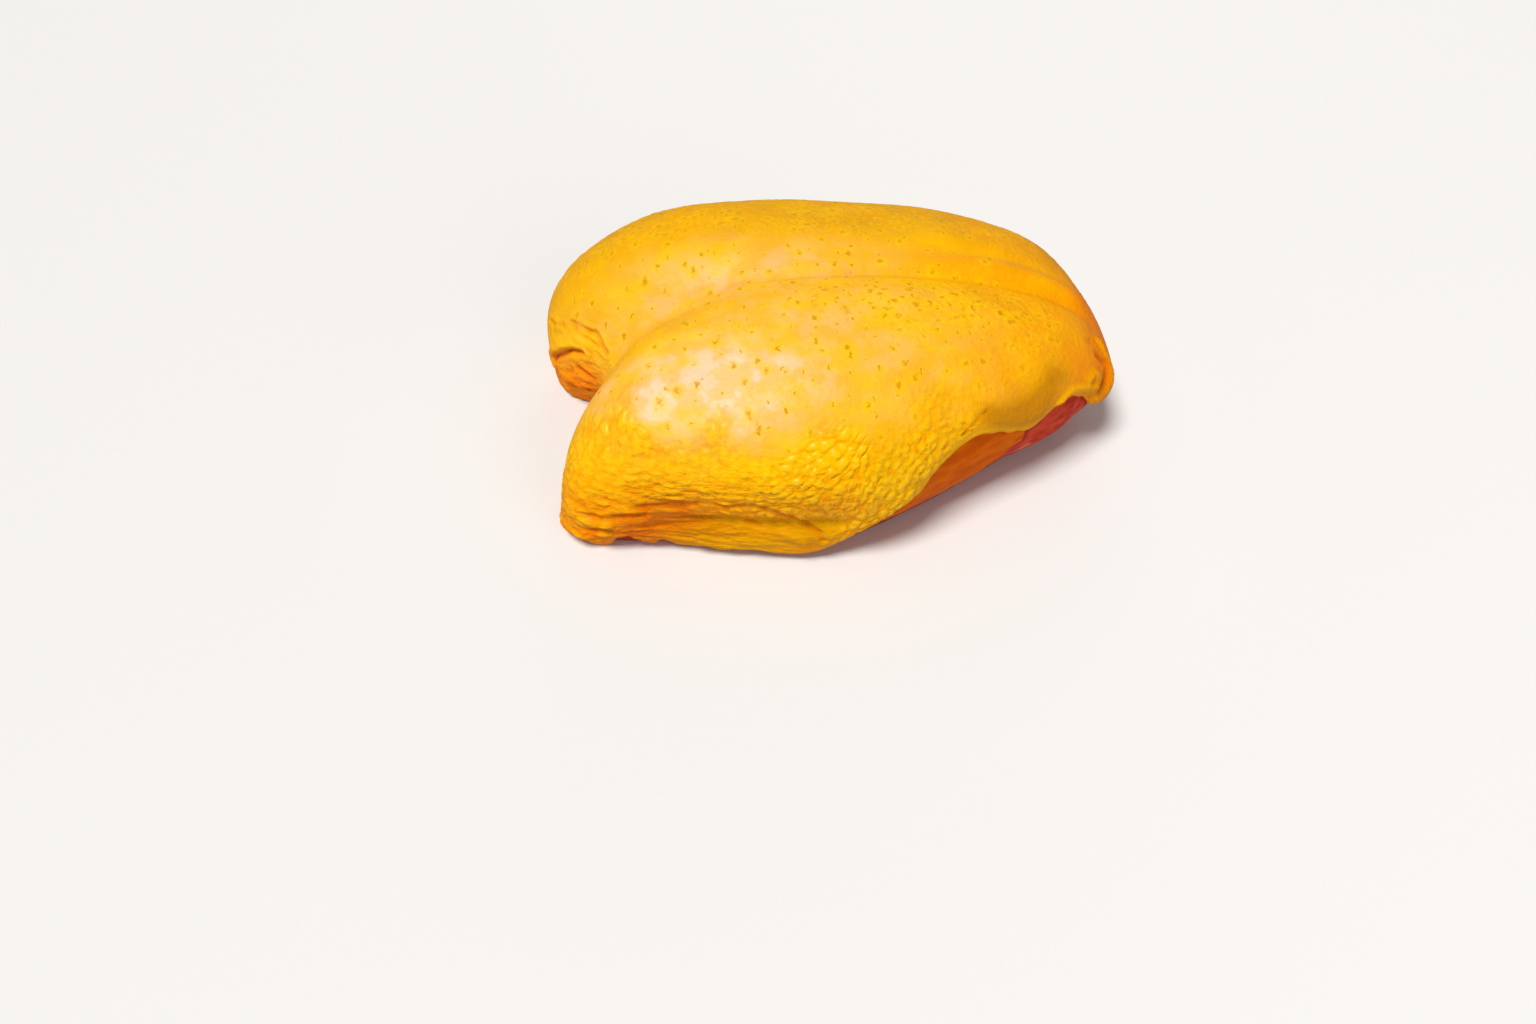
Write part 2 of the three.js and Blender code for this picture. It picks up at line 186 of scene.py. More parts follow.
def surface(u, v):
    """The reach from the crown to the outline grows as a sine while the height falls along a
    rounded power curve; below the widest level the wall drops straight and draws in as a parabola."""
    edge = outline_at(u)
    reach = edge[..., :2] - CROWN_CENTRE
    below = np.clip(v - 1, 0, 1)
    share = np.where(v <= 1, np.sin(np.clip(v, 0, 1) * np.pi / 2), 1 - (1 - edge[..., 3]) * below**2)
    scale = share + wall_swell(u, v) / np.hypot(reach[..., 0], reach[..., 1])
    plain = CROWN_CENTRE + reach * share[..., None]
    top = crown_height(plain[..., 0], plain[..., 1])
    fall = np.clip(1 - share**DOME_POWER, 0, 1) ** (1 / DOME_ROOT)
    z = np.where(v <= 1, edge[..., 2] + (top - edge[..., 2]) * fall, edge[..., 2] * (1 - below))
    return np.concatenate([CROWN_CENTRE + reach * scale[..., None], z[..., None]], -1)


SLOPE_STEP = 0.001
CROWN_MARGIN = 0.03


def outward(u, v):
    """Cross product of the two directions of the surface, made level below the widest level."""
    at = np.maximum(v, CROWN_MARGIN)
    round_it = surface(u + SLOPE_STEP, at) - surface(u - SLOPE_STEP, at)
    down_it = surface(u, at + SLOPE_STEP) - surface(u, at - SLOPE_STEP)
    normal = np.cross(down_it, round_it)
    normal[..., 2] = np.where(v >= 1, 0, normal[..., 2])
    return normal / np.linalg.norm(normal, axis=-1, keepdims=True)


def line_distance(points, line):
    """Distance to a bent line: the least of the distances to its straight stretches."""
    best = np.full(points.shape[:-1], np.inf)
    for a, b in zip(np.array(line[:-1], float), np.array(line[1:], float)):
        along = np.clip((points - a) @ (b - a) / ((b - a) @ (b - a)), 0, 1)
        best = np.minimum(best, np.linalg.norm(points - a - along[..., None] * (b - a), axis=-1))
    return best


RIPPLE_WAVES = 12


def ripple(points, length, seed):
    """Uneven field from about -1 to 1: plane waves of about one length in seeded directions."""
    rng = np.random.default_rng(seed)
    field = np.zeros(points.shape[:-1])
    for _ in range(RIPPLE_WAVES):
        direction = rng.normal(size=3)
        direction *= 2 * np.pi / length * rng.uniform(0.6, 1.4) / np.linalg.norm(direction)
        field += np.sin(points @ direction + rng.uniform(0, 2 * np.pi))
    return 2 * field / RIPPLE_WAVES


LATTICE = 32


def pebbles(points, size, seed):
    """Rounded cells with thin valleys: one less the cube of the ratio between the distances to the
    nearest and the second nearest point of a shaken lattice."""
    table = np.random.default_rng(seed).uniform(0.1, 0.9, (LATTICE, LATTICE, LATTICE, 3))
    cell = np.floor(points / size).astype(int)
    nearest = np.full(points.shape[:-1], np.inf)
    second = nearest.copy()
    for step in np.ndindex(3, 3, 3):
        corner = cell + np.array(step) - 1
        i, j, k = np.moveaxis(corner % LATTICE, -1, 0)
        away = np.linalg.norm(points - (corner + table[i, j, k]) * size, axis=-1)
        second = np.minimum(second, np.maximum(nearest, away))
        nearest = np.minimum(nearest, away)
    return 1 - (nearest / second) ** 3


# Cell sizes of the goose bumps, before they are drawn out, and where one kind turns into the next
LEVEL_BUMPS, UPRIGHT_BUMPS, SLANTED_BUMPS = 3.5, 3.6, 3.7
UPRIGHT_ABOVE = (34, 44)
SLANTED_BEYOND = (-48, -20)


def goose_bumps(p):
    """Cells 4 to 7 mm long: drawn out level low on the wing end, down the slope above that, and on
    a slant towards the tail."""
    x, y, z = p[..., 0], p[..., 1], p[..., 2]
    shift = 8 * ripple(p, 40, seed=8)
    level = pebbles(np.stack([0.55 * x, y, 1.2 * z], -1), LEVEL_BUMPS, seed=6)
    slanted = pebbles(np.stack([0.5 * (x + z), y, 0.8 * (z - x)], -1), SLANTED_BUMPS, seed=7)
    upright = pebbles(np.stack([x, 0.5 * y, 0.5 * z], -1), UPRIGHT_BUMPS, seed=13)
    wing = level + (upright - level) * ease(z + 0.6 * shift, *UPRIGHT_ABOVE)
    return wing + (slanted - wing) * ease(x + shift, *SLANTED_BEYOND)


# Stretches of the wall, round the outline: start, full, ending and end
FAR_STUMP = (7.4, 7.8, 9.0, 9.4)
NEAR_STUMP = (11.2, 11.7, 12.9, 13.8)
NEAR_CREASE = (12.0, 12.6, 14.2, 15.0)
NEAR_PANEL = (12.5, 12.9, 14.0, 14.6)
NEAR_FLARE = (12.9, 13.2, 14.0, 14.4)
CUT_FLANK = (14.9, 15.3, 17.2, 17.6)
FAR_FLANK = (0.5, 1.5, 6, 7)
NECK_WALLS = (6.4, 7.2, 10.7, 11.3)

# The knob in the far stump, and the shaded hollow beside the near one
STUMP_KNOB = [(-109, 9, 11), (-98, 1, 17)]
KNOB_HALF = 7
STUMP_HOLLOW = [(-76, -79, 13), (-66, -79, 19), (-56, -80, 21)]
HOLLOW_HALF = 8


def skin_zones(u, v, p):
    """Masks of 0 to 1 for the parts of the skin that differ in relief and colour."""
    y = p[..., 1]
    zones = {"on_top": 1 - ease(v, 0.75, 0.95)}
    zones["far_end"] = between(u, *FAR_STUMP) * ease(v, 0.75, 0.9)
    zones["near_end"] = between(u, *NEAR_STUMP) * ease(v, 0.72, 0.88)
    zones["crease"] = between(u, *NEAR_CREASE) * bell(v, 0.86, 0.1)
    zones["panel"] = between(u, *NEAR_PANEL) * ease(v, 0.98, 1.08)
    zones["flare"] = between(u, *NEAR_FLARE) * bell(v, 1.9, 0.12)
    zones["cut"] = between(u, *CUT_FLANK)
    zones["knob"] = bell(line_distance(p, STUMP_KNOB), 0, KNOB_HALF)
    zones["hollow"] = bell(line_distance(p, STUMP_HOLLOW), 0, HOLLOW_HALF)
    # painted shade on the far slope, which faces away from the light
    zones["far_slope"] = 0.35 * ease(y, 6, 30) * zones["on_top"]
    return zones


# Lines along the keel, the two ends of each fading out: y where x is 0, slant, half width, ends
KEEL_STRIPE = (6.3, 0.03, 5, (0, 45, 96, 112))
KEEL_GROOVE = (-0.5, 0.02, 2.4, (-80, -45, 90, 112))
STRIPE_EDGE = (15.5, 0, 4, (20, 60, 90, 112))
STRIPE_HEIGHT, GROOVE_DEPTH, STRIPE_EDGE_DEPTH = 2.0, 1.8, 0.9


def keel_line(x, y, middle, slant, half_width, ends):
    """Bell curve across a slanted line along the keel."""
    return bell(y, middle + slant * x, half_width) * between(x, *ends)


# Creases of the gathered skin: points in millimetres, depth, half width, height of the banks
CREASES = [
    # round the top of the far wing stump
    ([(-116, 23, 31), (-109, 16, 35)], 1.0, 1.0, 0.4),
    ([(-105, 12, 38), (-95, 5, 40), (-91, 0, 36), (-89, -2, 35)], 1.3, 1.0, 0.5),
    ([(-104, 10, 37), (-97, 5, 37), (-93, 1, 35)], 0.9, 0.8, 0.3),
    ([(-105, 9, 33), (-99, 4, 33), (-96, 2, 31)], 0.7, 0.8, 0.2),
    # across the far wing stump and in its knob
    ([(-116, 18, 16), (-110, 11, 24), (-101, 5, 30)], 2.3, 1.3, 0.7),
    ([(-110, 9, 16), (-106, 6, 20)], 0.8, 0.9, 0.3),
    ([(-103, 4, 22), (-96, -1, 21)], 1.8, 1.1, 0.5),
    ([(-108, 8, 12), (-103, 5, 14), (-98, 1, 13)], 1.6, 1.0, 0.5),
    # folds that run into the near wing stump
    ([(-94, -75, 18), (-87, -77, 18), (-81, -78, 20), (-72, -79, 21)], 1.2, 1.2, 0.5),
    ([(-93, -76, 11), (-88, -77, 12), (-84, -78, 13)], 0.9, 1.2, 0.3),
    ([(-100, -70, 23), (-92, -76, 21), (-80, -78, 24)], 0.6, 1.0, 0.2),
    # under the bulge of the near wall, hooked down at its end
    ([(-74, -78, 25), (-60, -80, 27), (-49, -81, 29), (-42, -82, 28)], 1.4, 1.4, 0.0),
    ([(-42, -82, 28), (-31, -83, 29), (-24, -83, 28), (-17, -83, 24)], 1.2, 1.3, 0.0),
    ([(-17, -83, 24), (-11, -82, 18), (-6, -83, 16), (-5, -83, 13)], 1.2, 1.1, 0.5),
    ([(-34, -80, 19), (-28, -81, 18)], 0.8, 0.8, 0.2),
    ([(-43, -80, 16), (-38, -81, 16)], 0.7, 0.8, 0.2),
    # behind the rolled end of the skin at the tail
    ([(106, -13, 43), (110, -12, 38), (111, -14, 35), (109, -18, 32), (107, -21, 32)], 1.9, 1.2, 0.3),
    ([(99, -13, 49), (103, -10, 46)], 0.7, 0.8, 0.3),
    ([(102, -6, 48), (106, -8, 44)], 0.8, 0.8, 0.3),
    # short slit above the cut edge
    ([(46, -61, 46), (51, -56, 48), (56, -52, 50)], 0.9, 0.6, 0.3),
]
# A crease's banks stand this many half widths out, and are this many half widths wide
BANK_PLACE, BANK_HALF = 2.2, 1.1
# Path of the rolled ear of skin at the tail
EAR_TURN = [(108, -5, 43), (110, -8, 41), (113, -9, 36), (114, -11, 32)]
EAR_END = [(113, -14, 29), (110, -18, 27), (105, -24, 27)]
# Rolls between the creases: points in millimetres, height, half width
ROLLS = [
    # far wing stump
    ([(-115, 19, 23), (-107, 10, 31), (-98, 5, 35)], 1.2, 3.2),
    ([(-107, 7, 16), (-100, 3, 17)], 1.8, 5.0),
    ([(-112, 12, 5), (-104, 4, 8), (-98, 0, 11)], 1.0, 2.6),
    # near wing stump
    ([(-102, -70, 17), (-94, -75, 15), (-84, -78, 16)], 0.9, 2.4),
    ([(-103, -68, 8), (-95, -75, 7)], 0.9, 2.6),
    # rolled ear of skin at the tail, and the edge beside it
    (EAR_TURN + EAR_END, 1.9, 1.8),
    ([(101, -24, 39), (104, -20, 39), (106, -20, 36), (105, -22, 34)], 1.5, 1.9),
    ([(87, -37, 38), (91, -33, 40), (94, -31, 40), (99, -27, 37), (104, -23, 33)], 1.6, 1.5),
    # hem of the near wall
    ([(-18, -83, 15), (-12, -84, 12)], 1.4, 2.2),
    ([(-50, -80, 8), (-38, -81, 9), (-26, -82, 11)], 0.9, 2.4),
]


def folds(p):
    """Sums of bell curves across each crease, its two banks and each roll."""
    gaps = [(line_distance(p, line), *rest) for line, *rest in CREASES]
    creases = sum(depth * bell(d, 0, half) for d, depth, half, _ in gaps)
    banks = sum(bank * bell(d, BANK_PLACE * half, BANK_HALF * half) for d, _, half, bank in gaps)
    rolls = sum(height * bell(line_distance(p, line), 0, half) for line, height, half in ROLLS)
    return creases, banks, rolls


def slow_waves(x, y, v):
    """Two products of sines that keep the skin uneven: 0.5 mm and, away from the crown, 0.35 mm high."""
    long_wave = 0.5 * np.sin(x / 17 + 1) * np.sin(y / 13 + 2)
    short_wave = 0.35 * np.sin(x / 10 + y / 19) * np.sin(y / 9 + 0.7)
    return long_wave + short_wave * ease(v, 0.15, 0.4)


def bumpiness(u, v, p, zones, from_hem, patch):
    """Where goose bumps stand: full on the lower near wall, fainter on the tail and the far slope."""
    x, y = p[..., 0], p[..., 1]
    low = ease(v + patch, 0.54, 0.72) * (1 - 0.85 * zones["panel"]) * (1 - between(u, *NECK_WALLS))
    low = low * (1 - ease(x + 40 * patch, 34, 64)) * (1 - 0.4 * between(u, *FAR_FLANK))
    tail = 0.14 * ease(v, 0.15, 0.4) + 0.16 * bell(y, -18, 16)
    tail = tail * between(x + 40 * patch, 5, 40, 70, 100)
    far = 0.3 * ease(y + 40 * patch, 12, 40)
    at_edge = zones["cut"] * (1 - ease(from_hem, 0.01, 0.06))
    bumpy = np.maximum.reduce([low, tail, far]) * (1 - 0.5 * at_edge)
    return bumpy * (1 - 0.6 * zones["far_end"]) * (1 - 0.4 * zones["near_end"])


# How far the folds and bumps wander, everywhere and more at the far stump
WANDER, STUMP_WANDER, WANDER_LENGTH = 0.9, 0.9, 14
WRINKLE_HEIGHT = 0.3
FLARE_HEIGHT = 1.3
BUMP_HEIGHT, BUMP_BASE = 1.15, 0.7
CUT_EDGE_DEPTH, CUT_EDGE_HALF = 0.9, 0.035
DEEPEST_RELIEF = 1.9

# Pale patches, partly paler skin and partly a painted highlight where the main light glints on the near
# half: share, middle and reach along x, the same along y, heights over which the patch sets in
PEACH_AND_HIGHLIGHT_PATCHES = [
    (1.0, (-48, 38), (-55, 16), (30, 54)),
    (0.2, (-10, 60), (-38, 28), (40, 58)),
    (0.3, (-40, 50), (2, 16), (0, 1)),
]


def orange_and_shade_field(u, v, p, zones, stripe, rolls):
    """Where the skin turns orange: its own orange at the stumps, along the keel stripe and at the ear;
    painted warm shade low on the walls, on the stumps' lower walls and along the near crease; orange
    towards the tail, partly painted shade where the end turns from the light; and less on top of the
    rolls."""
    x, y = p[..., 0], p[..., 1]
    # orange at the stumps: the gathered skin's own colour, and painted warm shade on their lower walls
    near_stump = bell_round(u, 12.0, 1.1) * ease(v, 0.72, 1.05)
    far_stump = bell_round(u, 8.4, 0.7) * ease(v, 0.82, 1.0)
    # painted warm shade low on all the walls but the near panel
    stumps = near_stump + far_stump + 0.4 * ease(v, 0.95, 1.4) * (1 - zones["panel"])
    # orange towards the tail end, partly painted shade where it turns from the light, and the keel
    # stripe's own orange
    ends = np.clip(0.95 * stumps + 0.9 * ease(x, 84, 112) + 0.45 * stripe, 0, 1)
    tail_half = 0.4 * ease(x, 20, 90) * (1 - ease(v, 0.9, 1.0))
    # painted warm shade in the crease under the near wall's bulge
    near_crease = 0.6 * between(u, 12.2, 12.9, 14.2, 15.2) * bell(v, 1.0, 0.12)
    flap_corner = 0.55 * bell_round(u, 14.0, 0.3) * ease(v, 1.3, 1.6)
    ear = 0.75 * bell(x, 96, 13) * bell(y, -24, 12)
    orange = np.maximum.reduce([ends, tail_half, near_crease, flap_corner, ear])
    return orange * (1 - 0.6 * np.clip(rolls, 0, 1) * (1 - zones["knob"]))


def thin_skin_and_shade_field(u, v, zones, from_hem):
    """Olive of thin skin mixed with painted shade: two patches at the cut where thin skin turns from the
    light, the near panel as painted shadow under the bulge above it, and painted shade on the far slope.
    """
    # thin skin at the cut, darkened further as painted shade
    patch_low = 1.4 * bell(from_hem, 0.08, 0.06) * between(u, 15.7, 16.1, 16.4, 16.8)
    patch_high = 0.9 * bell(from_hem, 0.13, 0.07) * between(u, 16.1, 16.5, 16.8, 17.1)
    # painted shadow under the bulge of the near wall
    panel = 0.75 * zones["panel"] * bell(v, 1.35, 0.32)
    return np.clip(zones["cut"] * (patch_low + patch_high) + panel + zones["far_slope"], 0, 1)


def skin_fields(u, v, p):
    """Relief in millimetres and the masks that the finish follows, worked out at each point."""
    x, y, z = p[..., 0], p[..., 1], p[..., 2]
    zones = skin_zones(u, v, p)
    on_top, far_end, near_end = zones["on_top"], zones["far_end"], zones["near_end"]
    from_hem = hem_at(u) - v
    shake = np.stack([ripple(p, WANDER_LENGTH, seed) for seed in (1, 2, 3)], -1)
    warped = p + (WANDER + STUMP_WANDER * far_end)[..., None] * shake

    # Lines along the keel, slow waves and folds
    stripe = keel_line(x, y, *KEEL_STRIPE) * on_top
    groove = keel_line(x, y, *KEEL_GROOVE) * on_top
    stripe_edge = keel_line(x, y, *STRIPE_EDGE) * on_top
    creases, banks, rolls = folds(warped)
    relief = STRIPE_HEIGHT * stripe - GROOVE_DEPTH * groove - STRIPE_EDGE_DEPTH * stripe_edge
    relief = relief + slow_waves(x, y, v) + rolls + banks - creases

    # Level wrinkles run over the near wall, whose hem flares, and finer gathers over the far stump
    wrinkled = zones["panel"] + near_end + zones["crease"]
    level = ripple(warped * np.array([0.22, 1, 1]), 3.4, seed=9)
    gathers = 0.4 * ripple(warped * np.array([0.4, 0.4, 1.5]), 5, seed=10)
    gathers = gathers + 0.3 * ripple(warped * np.array([0.5, 0.5, 1.2]), 2.6, seed=14)
    relief = relief + FLARE_HEIGHT * zones["flare"] + WRINKLE_HEIGHT * level * wrinkled
    relief = relief + gathers * far_end

    # Goose bumps
    patch = 0.2 * ripple(p, 34, seed=5)
    bumpy = bumpiness(u, v, p, zones, from_hem, patch)
    cells = goose_bumps(warped)
    relief = relief + (BUMP_HEIGHT * cells - BUMP_BASE) * bumpy * (0.85 + patch)

    # The cut edge is thin and lies close to the fat, and nothing cuts through the skin
    relief = relief - CUT_EDGE_DEPTH * bell(from_hem, 0, CUT_EDGE_HALF) * zones["cut"]
    relief = np.where(relief < 0, DEEPEST_RELIEF * np.tanh(relief / DEEPEST_RELIEF), relief)

    # Colours
    # Pale patches on the near half, partly paler skin and partly a painted highlight
    peach_and_highlight = np.maximum.reduce([
        share * bell(x, *along) * bell(y, *across) * ease(z, *rise)
        for share, along, across, rise in PEACH_AND_HIGHLIGHT_PATCHES
    ])
    # Painted shade in the creases, along the keel groove, in the hollow beside the near stump, on the
    # far stump's knob and at the tail end; lighter on the ridges of the level wrinkles and darker
    # between them
    fold_shade = creases / 1.8 + 0.12 * groove + zones["hollow"] + 0.15 * zones["knob"]
    fold_shade = fold_shade + 0.4 * ease(x, 92, 112) - 0.3 * level * (near_end + zones["crease"])
    pits = np.maximum(ease(x + 60 * patch, -25, 10) * bell(y, -18, 14), 0.8 * ease(y, 15, 35))
    return relief, {
        "peach_and_highlight": peach_and_highlight * (1 - 0.9 * np.clip(bumpy, 0, 1)),
        "orange": orange_and_shade_field(u, v, p, zones, stripe, rolls),
        "bumpy": bumpy,
        "cell": cells,
        "fold_shade": np.clip(fold_shade, 0, 1),
        "thin": thin_skin_and_shade_field(u, v, zones, from_hem),
        "dotted": np.clip(1 - 1.3 * bumpy, 0, 1) * (1 - ease(v, 0.7, 0.82)) * (1 - ease(x, 62, 88)),
        "woven": pits * on_top * (1 - ease(v, 0.7, 0.85)) * (1 - ease(x, 80, 100)),
        "level": wrinkled + 0.8 * far_end,
    }


def linked_object(name, mesh):
    """Object with smooth faces round a mesh, at the origin."""
    mesh.polygons.foreach_set("use_smooth", np.ones(len(mesh.polygons), bool))
    mesh.update()
    piece = bpy.data.objects.new(name, mesh)
    bpy.context.scene.collection.objects.link(piece)
    return piece


def closed_grid(name, rings, start, end, fields):
    """Mesh of rings of equal size, closed by a fan of triangles to one point at both ends."""
    rows, columns = rings.shape[:2]
    vertices = np.concatenate([start[None], rings.reshape(-1, 3), end[None]]) * MM
    i, j = np.meshgrid(np.arange(rows - 1), np.arange(columns), indexing="ij")
    here = 1 + i * columns
    k = (j + 1) % columns
    quads = np.stack([here + j, here + columns + j, here + columns + k, here + k], -1)
    j = np.arange(columns)
    k = (j + 1) % columns
    last = (rows - 1) * columns + 1
    first_fan = np.stack([np.zeros_like(j), 1 + j, 1 + k], -1)
    last_fan = np.stack([np.full_like(j, len(vertices) - 1), last + k, last + j], -1)
    mesh = bpy.data.meshes.new(name)
    faces = quads.reshape(-1, 4).tolist() + first_fan.tolist() + last_fan.tolist()
    mesh.from_pydata(vertices.tolist(), [], faces)
    for label, values in fields.items():
        layer = mesh.attributes.new(label, "FLOAT", "POINT")
        padded = np.concatenate([values[0, :1], values.reshape(-1), values[-1, :1]])
        layer.data.foreach_set("value", padded.astype(np.float32))
    return linked_object(name, mesh)


# Columns stand closest round the wing stumps and along the near side, rows where the bumps are
SPANS = [(0, 6.9, 145), (6.9, 9.2, 95), (9.2, 10.4, 25), (10.4, TURN, 300)]
OUTER_ROWS = 160
INNER_ROWS = 12
ROW_KNOTS = [0, 0.18, 0.76, 1]
ROW_PLACES = [0, 0.2, 0.52, 1]
# Where the hem is lifted off the floor: place round, half width, share of the way up
HEM_LIFTS = [
    (12.42, 0.13, 0.62),
    (12.72, 0.08, 0.3),
    (13.0, 0.2, 0.06),
    (13.45, 0.24, 0.15),
    (9.15, 0.22, 0.3),
]
LIFT_POWER = 5
HEM_RIPPLE = 0.004
EDGE_TURNS = (0.2, 0.5, 0.8)
EDGE_ROUNDING = 0.5
CROWN_SKIN_TOP = 0.3

skin_u = np.concatenate([np.linspace(low, high, count, endpoint=False) for low, high, count in SPANS])
lift = sum(share * bell_round(skin_u, place, half) for place, half, share in HEM_LIFTS)
skin_hem = hem_at(skin_u) + HEM_RIPPLE * np.sin(skin_u * 23 + 2 * np.sin(skin_u * 7))
outer_share = np.interp(np.linspace(0, 1, OUTER_ROWS + 1)[1:], ROW_KNOTS, ROW_PLACES)[:, None]
outer_v = outer_share * skin_hem - outer_share**LIFT_POWER * lift
outer_u = skin_u + 0 * outer_v
outer = surface(outer_u, outer_v)
relief, masks = skin_fields(outer_u, outer_v, outer)
outer = outer + outward(outer_u, outer_v) * relief[..., None]

# The cut edge is rounded: three rows swing from the outer face to the inner one
edge_base, edge_out = surface(skin_u, outer_v[-1]), outward(skin_u, outer_v[-1])
edge_rows = [
    edge_base
    + edge_out * (relief[-1] * (1 - t) - SKIN_THICKNESS * t)[:, None]
    - np.array([0, 0, EDGE_ROUNDING * math.sin(math.pi * t)])
    for t in EDGE_TURNS
]
inner_share = np.linspace(1, 0, INNER_ROWS + 1)[:-1, None]
inner_v = inner_share * skin_hem - inner_share**LIFT_POWER * lift
inner_u = skin_u + 0 * inner_v
inner = surface(inner_u, inner_v) - outward(inner_u, inner_v) * SKIN_THICKNESS
rings = np.concatenate([outer, np.stack(edge_rows), inner])
inside_rows = len(rings) - len(outer)
masks = {
    label: np.concatenate([mask, np.repeat(mask[-1:], inside_rows, 0)])
    for label, mask in masks.items()
}
crown = surface(np.zeros(1), np.zeros(1))[0]
crown_top = crown + np.array([0, 0, CROWN_SKIN_TOP])
crown_inside = crown - np.array([0, 0, SKIN_THICKNESS])
skin = closed_grid("breast_skin", rings, crown_top, crown_inside, masks)


class Finish:
    """A new material, with short calls that add nodes and join them up to its shader."""

    def __init__(self, name):
        self.material = bpy.data.materials.new(name)
        self.material.use_nodes = True
        self.tree = self.material.node_tree
        self.shader = self.tree.nodes["Principled BSDF"]
        self.place = self.node("ShaderNodeTexCoord").outputs["Object"]

    def feed(self, socket, value):
        """Join an output to the socket, or set the socket to a plain value."""
        if hasattr(value, "is_output"):
            self.tree.links.new(value, socket)
        else:
            socket.default_value = value

    def node(self, kind, settings=None, **inputs):
        """Add a node: settings are its own options, inputs are joined to its sockets by name."""
        made = self.tree.nodes.new(kind)
        for key, value in (settings or {}).items():
            setattr(made, key, value)
        for key, value in inputs.items():
            self.feed(made.inputs[key.replace("_", " ")], value)
        return made

    def maths(self, kind, first, second, clamp=False):
        made = self.node("ShaderNodeMath", {"operation": kind, "use_clamp": clamp})
        self.feed(made.inputs[0], first)
        self.feed(made.inputs[1], second)
        return made.outputs[0]

    def times(self, first, second):
        return self.maths("MULTIPLY", first, second)

    def mix(self, share, first, second):
        """Blend from the first colour to the second one."""
        made = self.node("ShaderNodeMix", {"data_type": "RGBA"})
        sockets = {socket.name: socket for socket in made.inputs if socket.enabled}
        for name, value in (("Factor", share), ("A", first), ("B", second)):
            self.feed(sockets[name], value)
        return next(socket for socket in made.outputs if socket.enabled)

    def rise(self, value, low, high):
        """Smooth step of a value from 0 at low to 1 at high."""
        settings = {"interpolation_type": "SMOOTHSTEP"}
        made = self.node("ShaderNodeMapRange", settings, Value=value, From_Min=low, From_Max=high)
        return made.outputs[0]

    def fall(self, value, low, high):
        """Smooth step of a value from 1 at low to 0 at high."""
        return self.maths("SUBTRACT", 1.0, self.rise(value, low, high))

    def mapped(self, vector, **inputs):
        """Turned or drawn out coordinates."""
        return self.node("ShaderNodeMapping", Vector=vector, **inputs).outputs[0]

    def noise(self, size, detail=2.0, stretch=None):
        """Noise whose patches are about the given number of millimetres across."""
        where = self.mapped(self.place, Scale=stretch) if stretch else self.place
        made = self.node("ShaderNodeTexNoise", Vector=where, Scale=1 / (size * MM), Detail=detail)
        return made.outputs

    def cells(self, vector, size, **settings):
        """Cells about the given number of millimetres across."""
        made = self.node("ShaderNodeTexVoronoi", settings, Vector=vector, Scale=1 / (size * MM))
        return made.outputs

    def mottle(self, patch, grain, spread):
        """The wet mottle group with its own sizes and range of tone."""
        made = self.node("ShaderNodeGroup", {"node_tree": wet_mottle}, Vector=self.place)
        for name, value in (("Patch Size", patch), ("Grain Size", grain), ("Tone Range", spread)):
            made.inputs[name].default_value = value
        return made.outputs

    def toned(self, colour, mottle):
        """Colour made lighter and darker by the mottle's tone."""
        return self.node("ShaderNodeHueSaturation", Color=colour, Value=mottle["Tone"]).outputs[0]

    def close(self, colour, roughness, height, strength, depth):
        """Join colour, roughness and relief, in metres of depth, to the shader."""
        bump = self.node("ShaderNodeBump", Height=height, Strength=strength, Distance=depth)
        self.feed(self.shader.inputs["Base Color"], colour)
        self.feed(self.shader.inputs["Roughness"], roughness)
        self.feed(self.shader.inputs["Normal"], bump.outputs[0])

    def set(self, **values):
        """Set plain values on the shader, by the names of its sockets."""
        for key, value in values.items():
            self.shader.inputs[key.replace("_", " ")].default_value = value


PATCH_DETAIL, GRAIN_DETAIL = 3, 2
GLOSS_FROM, GLOSS_TO = (0.3, 0.7), (0.36, 0.5)


